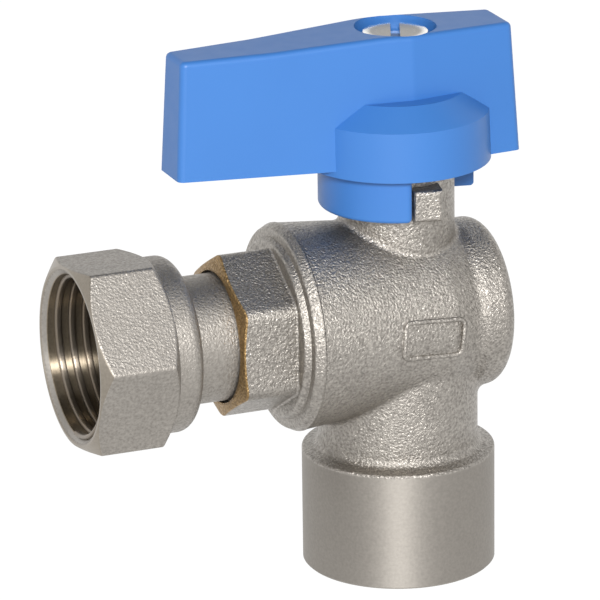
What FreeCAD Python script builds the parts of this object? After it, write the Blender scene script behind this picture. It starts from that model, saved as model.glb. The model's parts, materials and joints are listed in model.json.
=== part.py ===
import FreeCAD, Part
import math
import os

# Angle ball valve with a swivelling union nut and a quarter-turn lever.
# Millimetres, +Z up. The origin is the centre of the inlet socket's end face, on which the valve
# stands. The stem and the inlet share the Z axis. The outlet line runs along X, towards -X.

# Outlet line
outlet_height = 42.3

# Inlet socket
inlet_thread_radius = 13.22
inlet_thread_depth = 15.0
inlet_mouth_chamfer = 0.7
socket_wall = 2.53
socket_edge_chamfer = 0.35
socket_drop = 22.8
socket_edge_rounding = 0.45
socket_ledge_rise = 0.7
socket_root_rounding = 1.5
neck_wall = 4.0
inlet_passage_radius = 9.0
inlet_run_out = 2.2

# Ball
ball_radius = 12.25
port_radius = 7.5
ball_slot_depth = 3.3
ball_slot_play = 0.2

# Seat rings
seat_gap = 0.1
seat_step = 0.1
seat_band = 3.4
seat_floor = 1.3
seat_depth = 3.7
seat_pocket_play = 0.05
seat_rounding = 0.2

# Body barrel
cavity_gap = 0.55
connector_thread_step = 0.7
connector_thread_length = 8.1
connector_thread_play = 0.04
barrel_wall = 3.35
barrel_taper = 5.0
barrel_rear_x = 4.4
barrel_rear_rounding = 4.0
valley_width = 4.6
valley_depth = 0.45
valley_rise = 1.6
valley_rounding = 1.8
valley_rise_rounding = 2.5
rear_boss_wall = 2.75
rear_recess_radius = 7.0
rear_recess_depth = 1.5
rear_wall = 2.9
rear_rounding = 5.4
body_neck_fillet = 1.6
stem_boss_fillet = 1.0

# Stem boss and stop lug
stem_boss_wall = 4.35
stem_boss_length = 12.0
lug_width = 4.7
lug_height = 5.2
lug_drop = 9.1
lug_reach = 2.55
lug_offset = 2.9
lug_turn = -12.0
lug_rounding = 0.6

# End connector
connector_flange_length = 2.9
connector_rim_height = 0.1
connector_rim_rounding = 0.2
flange_band_length = 1.8
flange_band_edge = 0.4
flange_band_drop = 0.7
flange_band_rounding = 0.45
flange_bead_step = 2.1
flange_bead_drop = 0.5
flange_bead_rounding = 0.55
flange_root_rounding = 0.4
connector_hex_length = 9.5
connector_hex_flats = 24.0
connector_hex_corner = 2.4
connector_front_angle = 18.0
connector_front_step = 0.9
connector_edge_rounding = 0.35
connector_lip = 2.4
connector_lip_play = 0.1
connector_end_gap = 0.1

# Union neck and its running fit
outlet_passage_radius = 7.25
neck_fit_radius = 9.9
neck_play = 0.1
neck_end_gap = 0.3
neck_depth = 10.6
neck_step = 0.4
neck_mouth_depth = 1.6
neck_mouth_gap = 0.45
neck_tip_chamfer = 0.5
neck_groove_depth = 1.1
neck_groove_width = 2.0
oring_squeeze_gap = 0.03
oring_side_gap = 0.1
oring_rounding = 0.5
inner_oring_offset = 2.3
outer_oring_offset = 5.3
snap_ring_offset = 8.1
snap_ring_section = 1.1
snap_ring_side_gap = 0.15
snap_ring_split = 24.0
snap_groove_neck = 0.75
snap_groove_connector = 0.6
snap_ring_play = 0.1
snap_ring_rounding = 0.3

# Union nut
nut_thread_radius = 13.22
nut_thread_depth = 12.6
nut_mouth_chamfer = 0.9
nut_relief_length = 2.6
nut_relief_depth = 0.35
nut_flats = 29.2
nut_hex_length = 13.3
nut_hex_turn = 36.0
nut_hex_chamfer = 32.0
nut_face_step = 0.1
nut_hex_corner = 0.8
nut_edge_rounding = 0.5
nut_collar_radius = 14.2
nut_collar_length = 4.5
nut_collar_rounding = 3.5
nut_tube_length = 6.9
gasket_thickness = 2.0
gasket_side_gap = 0.3

# Stem
stem_radius = 4.9
stem_play = 0.1
stem_shoulder_radius = 6.2
stem_shoulder_height = 2.0
stem_shoulder_play = 0.2
stem_ball_gap = 0.35
thrust_washer_thickness = 1.0
tang_thickness = 3.9
tang_width = 10.4
tang_end_gap = 0.3
stem_groove_depth = 1.0
stem_groove_width = 1.9
lower_oring_height = 3.4
oring_pitch = 3.6
stem_drive_flats = 7.6
stem_drive_length = 14.2
stem_drive_play = 0.05
stem_tapping_depth = 12.0
stem_tip_chamfer = 0.3

# Lever screw
screw_radius = 2.5
screw_play = 0.04
screw_head_radius = 5.8
screw_head_height = 3.3
screw_head_chamfer = 0.6
screw_slot_width = 1.5
screw_slot_depth = 1.6
screw_slot_turn = 68.0
screw_length = 11.0
screw_tip_chamfer = 0.5
screw_head_rounding = 0.3
spring_washer_thickness = 1.0
spring_washer_radius = 5.0
spring_washer_split = 0.8
spring_washer_play = 0.1

# Lever
lever_lift = 0.3
hub_height = 14.8
hub_wall = 2.6
counterbore_radius = 6.6
counterbore_depth = 5.3
lever_length = 38.95
lever_tail = 19.3
lever_end_lean = 1.25
lever_tail_lean = 1.1
lever_top_drop_front = 0.95
lever_top_drop_rear = 0.55
lever_rise_start = 23.0
lever_rise_end = 4.0
lever_front_rise = 0.15
lever_crown_rounding = 60.0
lever_bottom_front = 20.2
lever_bottom_rear = 21.5
lever_top_half_front = 3.8
lever_top_half_middle = 6.95
lever_top_half_rear = 4.65
lever_bottom_half_front = 4.35
lever_bottom_half_middle = 8.9
lever_bottom_half_rear = 6.0
lever_edge_rounding = 0.9
lever_corner_rounding = 1.1
lever_crease_rounding = 3.0
lever_wall = 2.2
lever_rib = 1.8
lever_rib_count = 2

# Lever boss and stop skirt
boss_radius = 15.25
boss_draft = 0.3
boss_drop = 1.65
boss_height = 8.0
boss_chamfer_width = 4.35
boss_chamfer_height = 3.35
skirt_play = 0.45
skirt_wall = 2.85
skirt_height = 7.55
skirt_rounding = 0.6
skirt_tip_rounding = 0.8
stop_width = 5.0
stop_play = 0.35
core_height = 8.5
core_rounding = 0.6

# Places along the outlet line, worked out from the sizes above
seat_ball_radius = ball_radius + seat_gap
seat_inner_radius = port_radius + seat_step
seat_outer_radius = seat_inner_radius + seat_band
seat_back = math.sqrt(seat_ball_radius**2 - seat_inner_radius**2) + seat_floor
seat_front = seat_back - seat_depth
seat_pocket_radius = seat_outer_radius + seat_pocket_play
cavity_radius = ball_radius + cavity_gap
connector_thread_radius = cavity_radius + connector_thread_step
joint_x = -(seat_back + connector_thread_length)
barrel_radius = connector_thread_radius + barrel_wall
rear_boss_radius = seat_pocket_radius + rear_boss_wall
rear_x = seat_back + rear_recess_depth + rear_wall
flange_x = joint_x - connector_flange_length
connector_front_x = flange_x - connector_hex_length
neck_radius = neck_fit_radius + neck_step
neck_end_x = connector_front_x + neck_depth + neck_end_gap
collar_x = connector_front_x - nut_tube_length
hex_rear_x = collar_x - nut_collar_length
nut_front_x = hex_rear_x - nut_hex_length
nut_floor_x = nut_front_x + nut_thread_depth

# Heights along the stem, worked out from the sizes above
ball_top = outlet_height + ball_radius
shoulder_bottom = ball_top + stem_ball_gap
shoulder_top = shoulder_bottom + stem_shoulder_height
ceiling = shoulder_top + thrust_washer_thickness
stem_bore_radius = stem_radius + stem_play
stem_boss_radius = stem_bore_radius + stem_boss_wall
stem_boss_top = ceiling + stem_boss_length
lever_seat = stem_boss_top + lever_lift
hub_floor = lever_seat + hub_height
lever_top = hub_floor + counterbore_depth
stem_top = lever_seat + stem_drive_length
head_bottom = hub_floor + spring_washer_thickness
boss_bottom = lever_seat - boss_drop
skirt_inner_radius = stem_boss_radius + skirt_play
skirt_radius = skirt_inner_radius + skirt_wall
skirt_bottom = boss_bottom - skirt_height
lug_bottom = stem_boss_top - lug_drop
drive_hole_flats = stem_drive_flats + 2 * stem_drive_play
socket_radius = inlet_thread_radius + socket_wall
socket_height = outlet_height - socket_drop
body_neck_radius = inlet_passage_radius + neck_wall

# How far a cutting shape runs past the face it cuts, and what counts as touching
past = 1.0
touch = 0.01

X_AXIS = FreeCAD.Vector(1, 0, 0)
Z_AXIS = FreeCAD.Vector(0, 0, 1)
OUTLET_LINE = FreeCAD.Vector(0, 0, outlet_height)


def rounded_wire(corners, place):
    """A closed wire through corners of (a, b) or (a, b, rounding), set in space by place(a, b)."""
    count = len(corners)
    starts, arcs = [], []
    for index, corner in enumerate(corners):
        here = FreeCAD.Vector(corner[0], corner[1], 0)
        before = FreeCAD.Vector(*corners[index - 1][:2], 0) - here
        after = FreeCAD.Vector(*corners[(index + 1) % count][:2], 0) - here
        rounding = corner[2] if len(corner) > 2 else 0.0
        half = before.getAngle(after) / 2
        reach = min(rounding / math.tan(half), 0.49 * min(before.Length, after.Length))
        if reach < touch**2:
            starts.append((here, here))
            arcs.append(None)
            continue
        before.normalize()
        after.normalize()
        radius = reach * math.tan(half)
        middle = before + after
        middle.normalize()
        crown = here + middle * (radius / math.sin(half) - radius)
        starts.append((here + before * reach, here + after * reach))
        arcs.append(crown)
    edges = []
    for index in range(count):
        enter, leave = starts[index]
        if arcs[index] is not None:
            points = [place(p.x, p.y) for p in (enter, arcs[index], leave)]
            edges.append(Part.Arc(*points).toShape())
        following = starts[(index + 1) % count][0]
        if (following - leave).Length > touch**2:
            edges.append(Part.LineSegment(place(leave.x, leave.y), place(following.x, following.y)).toShape())
    return Part.Wire(edges)


def turned_about_stem(corners):
    """A solid turned about the stem's axis from corners of (radius, height)."""
    wire = rounded_wire(corners, lambda r, z: FreeCAD.Vector(r, 0, z))
    return Part.Face(wire).revolve(FreeCAD.Vector(0, 0, 0), Z_AXIS, 360)


def turned_about_outlet(corners):
    """A solid turned about the outlet line from corners of (x, radius)."""
    wire = rounded_wire(corners, lambda x, r: FreeCAD.Vector(x, 0, outlet_height + r))
    return Part.Face(wire).revolve(OUTLET_LINE, X_AXIS, 360)


def rod_on_stem(radius, bottom, top):
    """A round rod on the stem's axis."""
    return Part.makeCylinder(radius, top - bottom, FreeCAD.Vector(0, 0, bottom), Z_AXIS)


def rod_on_outlet(radius, start, end):
    """A round rod on the outlet line."""
    return Part.makeCylinder(radius, end - start, FreeCAD.Vector(start, 0, outlet_height), X_AXIS)


def hexagon_on_outlet(flats, corner, turn, start, end):
    """A hexagonal bar on the outlet line, with rounded corners."""
    reach = flats / math.sqrt(3)
    corners = []
    for side in range(6):
        angle = math.radians(turn + 60 * side)
        corners.append((reach * math.sin(angle), reach * math.cos(angle), corner))
    wire = rounded_wire(corners, lambda y, z: FreeCAD.Vector(start, y, outlet_height + z))
    return Part.Face(wire).extrude(FreeCAD.Vector(end - start, 0, 0))


def edges_near(shape, test):
    """The edges of a shape whose middle point passes a test."""
    found = []
    for edge in shape.Edges:
        middle = edge.valueAt((edge.FirstParameter + edge.LastParameter) / 2)
        if test(middle):
            found.append(edge)
    return found


def edges_on_hexagon(shape, inner_radius, start, end):
    """The edges of a shape outside a radius about the outlet line, between two places along it."""
    def runs_there(point):
        return start < point.x < end and math.hypot(point.y, point.z - outlet_height) > inner_radius

    return edges_near(shape, runs_there)


def edges_around_stem(shape, radius, low, high):
    """The edges of a shape that run round the stem's axis at one radius, between two heights."""
    def runs_there(point):
        return low < point.z < high and abs(math.hypot(point.x, point.y) - radius) < touch

    return edges_near(shape, runs_there)


def edges_above(shape, height):
    """The edges of a shape that lie above a height."""
    return [edge for edge in shape.Edges if edge.BoundBox.ZMin > height]


def upright_edges(shape, near, far):
    """The edges that climb a tall wall, from near to far of the stem's axis along X."""
    found = []
    for edge in shape.Edges:
        climb = abs(edge.Vertexes[0].Point.z - edge.Vertexes[-1].Point.z)
        if climb > boss_height and near <= abs(edge.CenterOfMass.x) < far:
            found.append(edge)
    return found


def barrel_blank():
    """The barrel: a slightly tapered drum, a soft valley and the round rear boss."""
    slope = math.tan(math.radians(barrel_taper))
    rear_radius = barrel_radius - slope * (barrel_rear_x - joint_x)
    valley_radius = rear_boss_radius - valley_depth
    valley_x = barrel_rear_x + valley_width
    return turned_about_outlet([
        (joint_x, 0),
        (joint_x, barrel_radius),
        (barrel_rear_x, rear_radius, barrel_rear_rounding),
        (valley_x, valley_radius, valley_rounding),
        (valley_x + valley_rise, rear_boss_radius, valley_rise_rounding),
        (rear_x, rear_boss_radius, rear_rounding),
        (rear_x, 0),
    ])


def stop_lug():
    """The block on the stem boss that stops the lever at both ends of its quarter turn."""
    reach = stem_boss_radius + lug_reach
    corner = FreeCAD.Vector(lug_offset - lug_width / 2, -reach, lug_bottom)
    block = Part.makeBox(lug_width, reach, lug_height, corner)
    block = block.makeFillet(lug_rounding, edges_near(block, lambda p: p.y < -reach + touch))
    block.rotate(FreeCAD.Vector(0, 0, 0), Z_AXIS, lug_turn)
    return block


def make_valve_body():
    """The forged body with its bores: socket, neck, barrel, rear boss, stem boss and stop lug."""
    ledge_top = socket_height + socket_ledge_rise
    socket = turned_about_stem([
        (0, 0),
        (socket_radius - socket_edge_chamfer, 0),
        (socket_radius, socket_edge_chamfer),
        (socket_radius, socket_height, socket_edge_rounding),
        (body_neck_radius, ledge_top, socket_root_rounding),
        (body_neck_radius, outlet_height),
        (0, outlet_height),
    ])
    boss = rod_on_stem(stem_boss_radius, outlet_height, stem_boss_top)
    forging = barrel_blank().fuse([socket, boss]).removeSplitter().Solids[0]
    boss_root = edges_around_stem(forging, stem_boss_radius, outlet_height, stem_boss_top - touch)
    forging = forging.makeFillet(stem_boss_fillet, boss_root)
    neck_root = edges_around_stem(forging, body_neck_radius, ledge_top + 2 * socket_root_rounding, outlet_height)
    forging = forging.makeFillet(body_neck_fillet, neck_root)
    forging = forging.fuse(stop_lug())
    inlet = turned_about_stem([
        (0, -past),
        (inlet_thread_radius + inlet_mouth_chamfer + past, -past),
        (inlet_thread_radius, inlet_mouth_chamfer),
        (inlet_thread_radius, inlet_thread_depth),
        (inlet_passage_radius, inlet_thread_depth + inlet_run_out),
        (inlet_passage_radius, outlet_height),
        (0, outlet_height),
    ])
    hollows = [
        inlet,
        rod_on_outlet(connector_thread_radius, joint_x - past, -seat_back),
        rod_on_outlet(cavity_radius, -seat_back - past, 0),
        Part.makeSphere(cavity_radius, OUTLET_LINE),
        rod_on_outlet(seat_pocket_radius, 0, seat_back),
        rod_on_outlet(rear_recess_radius, 0, seat_back + rear_recess_depth),
        rod_on_stem(stem_bore_radius, outlet_height, stem_boss_top + past),
        rod_on_stem(stem_shoulder_radius + stem_shoulder_play, outlet_height, ceiling),
    ]
    for hollow in hollows:
        forging = forging.cut(hollow)
    return forging


def make_flange():
    """The end connector's flange: a sloping band against the barrel, and a smaller bead before it."""
    rim = barrel_radius + connector_rim_height
    band_x = joint_x - flange_band_length
    bead = rim - flange_bead_step
    return turned_about_outlet([
        (joint_x, 0),
        (joint_x, rim, connector_rim_rounding),
        (joint_x - flange_band_edge, rim, connector_rim_rounding),
        (band_x, rim - flange_band_drop, flange_band_rounding),
        (band_x, bead),
        (flange_x, bead - flange_bead_drop, flange_bead_rounding),
        (flange_x, 0),
    ])


def make_end_connector():
    """The end piece: stepped flange, hexagon with a turned front, and the neck's running bore."""
    hex_end = flange_x + past
    hexagon = hexagon_on_outlet(connector_hex_flats, connector_hex_corner, 0, connector_front_x, hex_end)
    hex_reach = connector_hex_flats / math.sqrt(3)
    face_radius = connector_hex_flats / 2 - connector_front_step
    cone_length = (hex_reach + past - face_radius) * math.tan(math.radians(connector_front_angle))
    turned_front = turned_about_outlet([
        (connector_front_x, 0),
        (connector_front_x, face_radius),
        (connector_front_x + cone_length, hex_reach + past),
        (hex_end, hex_reach + past),
        (hex_end, 0),
    ])
    bar = hexagon.common(turned_front)
    front_edges = edges_on_hexagon(bar, face_radius, connector_front_x + touch, connector_front_x + cone_length)
    bar = bar.makeFillet(connector_edge_rounding, front_edges)
    spigot_radius = connector_thread_radius - connector_thread_play
    spigot = rod_on_outlet(spigot_radius, joint_x, -seat_back - connector_end_gap)
    lip = rod_on_outlet(cavity_radius - connector_lip_play, -seat_back - past, -seat_back + connector_lip)
    blank = make_flange().fuse([bar, spigot, lip]).removeSplitter()
    root_edges = edges_on_hexagon(blank, face_radius, flange_x - touch, flange_x + touch)
    root_edges = [edge for edge in root_edges if edge.Length < connector_hex_flats]
    blank = blank.makeFillet(flange_root_rounding, root_edges)
    bore = neck_fit_radius + neck_play
    mouth = neck_radius + neck_mouth_gap
    groove_middle = connector_front_x + neck_depth - snap_ring_offset
    groove_half = snap_ring_section / 2 + snap_ring_side_gap
    groove_radius = bore + snap_groove_connector
    running_bore = turned_about_outlet([
        (connector_front_x - past, 0),
        (connector_front_x - past, mouth),
        (connector_front_x + neck_mouth_depth, mouth),
        (connector_front_x + neck_mouth_depth, bore),
        (groove_middle - groove_half, bore),
        (groove_middle - groove_half, groove_radius),
        (groove_middle + groove_half, groove_radius),
        (groove_middle + groove_half, bore),
        (neck_end_x, bore),
        (neck_end_x, outlet_passage_radius),
        (-seat_back, outlet_passage_radius),
        (-seat_back, seat_pocket_radius),
        (-seat_back + connector_lip + past, seat_pocket_radius),
        (-seat_back + connector_lip + past, 0),
    ])
    return blank.cut(running_bore)


def make_union_nut():
    """The union nut: hexagon with turned ends, round collar and the swivel neck in one piece."""
    hexagon = hexagon_on_outlet(nut_flats, nut_hex_corner, nut_hex_turn, nut_front_x, hex_rear_x)
    reach = nut_flats / math.sqrt(3)
    face_radius = nut_flats / 2 - nut_face_step
    cone = (reach + past - face_radius) * math.tan(math.radians(nut_hex_chamfer))
    turned_ends = turned_about_outlet([
        (nut_front_x, 0),
        (nut_front_x, face_radius),
        (nut_front_x + cone, reach + past),
        (hex_rear_x - cone, reach + past),
        (hex_rear_x, face_radius),
        (hex_rear_x, 0),
    ])
    bar = hexagon.common(turned_ends)
    for start, end in ((nut_front_x + touch, nut_front_x + cone), (hex_rear_x - cone, hex_rear_x - touch)):
        bar = bar.makeFillet(nut_edge_rounding, edges_on_hexagon(bar, face_radius, start, end))
    neck_tip_x = neck_end_x - neck_end_gap
    groove_bottom = neck_fit_radius - neck_groove_depth
    inner_middle = neck_tip_x - inner_oring_offset
    outer_middle = neck_tip_x - outer_oring_offset
    snap_middle = neck_tip_x - snap_ring_offset
    snap_half = snap_ring_section / 2 + snap_ring_side_gap
    snap_bottom = neck_fit_radius - snap_groove_neck
    half = neck_groove_width / 2
    step_x = connector_front_x + neck_mouth_depth - neck_end_gap
    body = turned_about_outlet([
        (hex_rear_x - past, 0),
        (hex_rear_x - past, nut_collar_radius),
        (collar_x, nut_collar_radius, nut_collar_rounding),
        (collar_x, neck_radius),
        (step_x, neck_radius),
        (step_x, neck_fit_radius),
        (snap_middle - snap_half, neck_fit_radius),
        (snap_middle - snap_half, snap_bottom),
        (snap_middle + snap_half, snap_bottom),
        (snap_middle + snap_half, neck_fit_radius),
        (outer_middle - half, neck_fit_radius),
        (outer_middle - half, groove_bottom),
        (outer_middle + half, groove_bottom),
        (outer_middle + half, neck_fit_radius),
        (inner_middle - half, neck_fit_radius),
        (inner_middle - half, groove_bottom),
        (inner_middle + half, groove_bottom),
        (inner_middle + half, neck_fit_radius),
        (neck_tip_x - neck_tip_chamfer, neck_fit_radius),
        (neck_tip_x, neck_fit_radius - neck_tip_chamfer),
        (neck_tip_x, 0),
    ])
    bore = turned_about_outlet([
        (nut_front_x - past, 0),
        (nut_front_x - past, nut_thread_radius + nut_mouth_chamfer + past),
        (nut_front_x + nut_mouth_chamfer, nut_thread_radius),
        (nut_floor_x - nut_relief_length, nut_thread_radius),
        (nut_floor_x - nut_relief_length, nut_thread_radius + nut_relief_depth),
        (nut_floor_x, nut_thread_radius + nut_relief_depth),
        (nut_floor_x, outlet_passage_radius),
        (neck_tip_x + past, outlet_passage_radius),
        (neck_tip_x + past, 0),
    ])
    return bar.fuse(body).removeSplitter().cut(bore)


def make_neck_oring(offset):
    """A ring seal squeezed between a neck groove and the end connector's bore."""
    middle = neck_end_x - neck_end_gap - offset
    half = neck_groove_width / 2 - oring_side_gap
    inner = neck_fit_radius - neck_groove_depth + oring_squeeze_gap
    outer = neck_fit_radius + neck_play - oring_squeeze_gap
    return turned_about_outlet([
        (middle - half, inner, oring_rounding),
        (middle + half, inner, oring_rounding),
        (middle + half, outer, oring_rounding),
        (middle - half, outer, oring_rounding),
    ])


def make_union_snap_ring():
    """The split wire ring that sits half in the neck and half in the end connector."""
    middle = neck_end_x - neck_end_gap - snap_ring_offset
    inner = neck_fit_radius - snap_groove_neck + snap_ring_play
    outer = neck_fit_radius + neck_play + snap_groove_connector - snap_ring_play
    half = snap_ring_section / 2
    ring = turned_about_outlet([
        (middle - half, inner, snap_ring_rounding),
        (middle + half, inner, snap_ring_rounding),
        (middle + half, outer, snap_ring_rounding),
        (middle - half, outer, snap_ring_rounding),
    ])
    split = 2 * outer * math.sin(math.radians(snap_ring_split / 2))
    gap_corner = FreeCAD.Vector(middle - 2 * half, -split / 2, outlet_height)
    gap = Part.makeBox(4 * half, split, 2 * outer, gap_corner)
    return ring.cut(gap)


def make_union_gasket():
    outer = nut_thread_radius - gasket_side_gap
    return turned_about_outlet([
        (nut_floor_x - gasket_thickness, outlet_passage_radius),
        (nut_floor_x - gasket_thickness, outer),
        (nut_floor_x, outer),
        (nut_floor_x, outlet_passage_radius),
    ])


def make_ball():
    """The ball: an L-shaped port from below to the outlet, and the slot for the stem's tang."""
    ball = Part.makeSphere(ball_radius, OUTLET_LINE)
    down = rod_on_stem(port_radius, outlet_height - ball_radius - past, outlet_height)
    side = rod_on_outlet(port_radius, -ball_radius - past, 0)
    elbow = Part.makeSphere(port_radius, OUTLET_LINE)
    width = tang_thickness + 2 * ball_slot_play
    slot_corner = FreeCAD.Vector(-width / 2, -ball_radius, ball_top - ball_slot_depth)
    slot = Part.makeBox(width, 2 * ball_radius, ball_slot_depth + past, slot_corner)
    return ball.cut(down.fuse([side, elbow])).cut(slot)


def make_seat_ring(side):
    """A seat ring with a spherical face; side is -1 at the outlet and 1 at the rear."""
    ring = turned_about_outlet([
        (side * seat_front, seat_inner_radius),
        (side * seat_front, seat_outer_radius, seat_rounding),
        (side * seat_back, seat_outer_radius, seat_rounding),
        (side * seat_back, seat_inner_radius),
    ])
    return ring.cut(Part.makeSphere(seat_ball_radius, OUTLET_LINE))


def make_stem():
    """The stem: tang, blowout shoulder, two seal grooves, and the double-flat drive for the lever."""
    lower = shoulder_top + lower_oring_height
    upper = lower + oring_pitch
    half = stem_groove_width / 2
    groove = stem_radius - stem_groove_depth
    shaft = turned_about_stem([
        (0, shoulder_bottom),
        (stem_shoulder_radius, shoulder_bottom),
        (stem_shoulder_radius, shoulder_top),
        (stem_radius, shoulder_top),
        (stem_radius, lower - half),
        (groove, lower - half),
        (groove, lower + half),
        (stem_radius, lower + half),
        (stem_radius, upper - half),
        (groove, upper - half),
        (groove, upper + half),
        (stem_radius, upper + half),
        (stem_radius, stem_top - stem_tip_chamfer),
        (stem_radius - stem_tip_chamfer, stem_top),
        (0, stem_top),
    ])
    tang_bottom = ball_top - ball_slot_depth + tang_end_gap
    tang_corner = FreeCAD.Vector(-tang_thickness / 2, -tang_width / 2, tang_bottom)
    tang = Part.makeBox(tang_thickness, tang_width, shoulder_bottom - tang_bottom, tang_corner)
    stem = shaft.fuse(tang)
    for side in (-1, 1):
        near = side * stem_drive_flats / 2
        flat_corner = FreeCAD.Vector(-stem_radius, min(near, near + side * stem_radius), lever_seat)
        stem = stem.cut(Part.makeBox(2 * stem_radius, stem_radius, stem_drive_length, flat_corner))
    return stem.cut(rod_on_stem(screw_radius + screw_play, stem_top - stem_tapping_depth, stem_top + past))


def make_stem_thrust_washer():
    return turned_about_stem([
        (stem_radius + stem_play, shoulder_top),
        (stem_shoulder_radius, shoulder_top),
        (stem_shoulder_radius, ceiling),
        (stem_radius + stem_play, ceiling),
    ])


def make_stem_oring(height):
    """A ring seal squeezed between a stem groove and the stem boss's bore."""
    middle = shoulder_top + height
    half = stem_groove_width / 2 - oring_side_gap
    inner = stem_radius - stem_groove_depth + oring_squeeze_gap
    outer = stem_bore_radius - oring_squeeze_gap
    return turned_about_stem([
        (inner, middle - half, oring_rounding),
        (outer, middle - half, oring_rounding),
        (outer, middle + half, oring_rounding),
        (inner, middle + half, oring_rounding),
    ])


def lever_outline(front, rear, halves, height):
    """The lever's kite-shaped plan at one height, narrow at both ends and wide over the stem."""
    corners = [
        FreeCAD.Vector(-front, -halves[0], height),
        FreeCAD.Vector(0, -halves[1], height),
        FreeCAD.Vector(rear, -halves[2], height),
        FreeCAD.Vector(rear, halves[2], height),
        FreeCAD.Vector(0, halves[1], height),
        FreeCAD.Vector(-front, halves[0], height),
    ]
    return Part.makePolygon(corners + corners[:1])


def lever_blade():
    """The lever's blade: drafted kite walls, a crowned top and a gently sloping underside."""
    bottom_halves = (lever_bottom_half_front, lever_bottom_half_middle, lever_bottom_half_rear)
    top_halves = (lever_top_half_front, lever_top_half_middle, lever_top_half_rear)
    bottom = lever_outline(lever_length, lever_tail, bottom_halves, lever_top - lever_bottom_rear - past)
    top_front = lever_length - lever_end_lean
    top = lever_outline(top_front, lever_tail - lever_tail_lean, top_halves, lever_top + past)
    walls = Part.makeLoft([bottom, top], True, True)
    walls = walls.makeFillet(lever_corner_rounding, upright_edges(walls, counterbore_radius, lever_length))
    walls = walls.makeFillet(lever_crease_rounding, upright_edges(walls, 0, touch))
    front_top = lever_top - lever_top_drop_front
    side = [
        (-lever_length - past, lever_top - lever_bottom_front),
        (-lever_length - past, front_top),
        (-lever_rise_start, front_top + lever_front_rise, lever_crown_rounding),
        (-lever_rise_end, lever_top, lever_crown_rounding),
        (lever_tail + past, lever_top - lever_top_drop_rear),
        (lever_tail + past, lever_top - lever_bottom_rear),
    ]
    profile = Part.Face(rounded_wire(side, lambda x, z: FreeCAD.Vector(x, -boss_radius, z)))
    blade = walls.common(profile.extrude(FreeCAD.Vector(0, 2 * boss_radius, 0)))
    return blade.Solids[0].makeFillet(lever_edge_rounding, edges_above(blade, lever_top - counterbore_depth))


def lever_pockets():
    """The moulding's hollows under the blade, parted by thin ribs."""
    front = lever_length - lever_end_lean - lever_wall
    bottom_halves = (lever_bottom_half_front - lever_wall, lever_bottom_half_middle - lever_wall)
    top_halves = (lever_top_half_front - lever_wall, lever_top_half_middle - lever_wall)
    bottom = lever_top - lever_bottom_rear - past
    top = lever_top - lever_top_drop_front - lever_wall
    wires = []
    for (narrow, wide), height in ((bottom_halves, bottom), (top_halves, top)):
        corners = [
            FreeCAD.Vector(-front, -narrow, height),
            FreeCAD.Vector(0, -wide, height),
            FreeCAD.Vector(0, wide, height),
            FreeCAD.Vector(-front, narrow, height),
        ]
        wires.append(Part.makePolygon(corners + corners[:1]))
    hollow = Part.makeLoft(wires, True, True)
    room = front - boss_radius - lever_wall / 2
    pitch = (room + lever_rib) / (lever_rib_count + 1)
    pockets = []
    for index in range(lever_rib_count + 1):
        corner = FreeCAD.Vector(-front + index * pitch, -boss_radius, bottom)
        slab = Part.makeBox(pitch - lever_rib, 2 * boss_radius, top - bottom, corner)
        pockets.append(hollow.common(slab))
    return pockets


def block_beside_lug(across, behind, bottom):
    """A block under the boss in the lug's own directions, between two places across it and two behind it."""
    corner = FreeCAD.Vector(across[0], behind[0], bottom)
    block = Part.makeBox(across[1] - across[0], behind[1] - behind[0], boss_bottom + past - bottom, corner)
    block.rotate(FreeCAD.Vector(0, 0, 0), Z_AXIS, lug_turn)
    return block


def stop_skirt():
    """The notched skirt: the lug stands in its notch for the whole quarter turn, and a thick end stops it."""
    near = lug_offset - lug_width / 2 - stop_play
    far = lug_offset + lug_width / 2 + stop_play
    reach = boss_radius + past
    wall = turned_about_stem([
        (skirt_inner_radius, skirt_bottom),
        (skirt_radius, skirt_bottom, skirt_rounding),
        (skirt_radius, boss_bottom + past),
        (skirt_inner_radius, boss_bottom + past),
    ])
    thick_wall = turned_about_stem([
        (skirt_inner_radius, skirt_bottom),
        (boss_radius - boss_draft, skirt_bottom, skirt_rounding),
        (boss_radius - boss_draft, boss_bottom + past),
        (skirt_inner_radius, boss_bottom + past),
    ])
    thick_end = thick_wall.common(block_beside_lug((touch, reach), (far, far + stop_width), skirt_bottom - past))
    notch = block_beside_lug((near, reach), (-reach, far), skirt_bottom - past)
    skirt = wall.cut(notch)
    tip = edges_near(skirt, lambda point: abs(point.z - skirt_bottom) < touch and point.y < -skirt_inner_radius)
    short = [edge for edge in tip if edge.Length < skirt_wall + past]
    skirt = skirt.makeFillet(skirt_tip_rounding, short)
    return skirt.fuse(thick_end)


def make_lever():
    """The lever: blade, round boss with a chamfered shoulder, notched stop skirt and hub."""
    boss = turned_about_stem([
        (0, boss_bottom),
        (boss_radius, boss_bottom),
        (boss_radius - boss_draft, boss_bottom + boss_height),
        (boss_radius - boss_chamfer_width, boss_bottom + boss_height + boss_chamfer_height),
        (0, boss_bottom + boss_height + boss_chamfer_height),
    ])
    blade = lever_blade()
    for pocket in lever_pockets():
        blade = blade.cut(pocket)
    lever = blade.fuse([boss, stop_skirt()]).removeSplitter()
    hub_radius = stem_radius + hub_wall
    core = turned_about_stem([
        (0, boss_bottom - past),
        (skirt_inner_radius, boss_bottom - past),
        (skirt_inner_radius, lever_seat + core_height, core_rounding),
        (hub_radius, lever_seat + core_height, core_rounding),
        (hub_radius, lever_seat),
        (0, lever_seat),
    ])
    drive = rod_on_stem(stem_radius + stem_drive_play, lever_seat - past, hub_floor + past)
    flats_corner = FreeCAD.Vector(-hub_radius, -drive_hole_flats / 2, lever_seat - past)
    drive = drive.common(Part.makeBox(2 * hub_radius, drive_hole_flats, hub_height + 2 * past, flats_corner))
    counterbore = rod_on_stem(counterbore_radius, hub_floor, lever_top + past)
    for hollow in (core, drive, counterbore):
        lever = lever.cut(hollow)
    return lever


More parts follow.
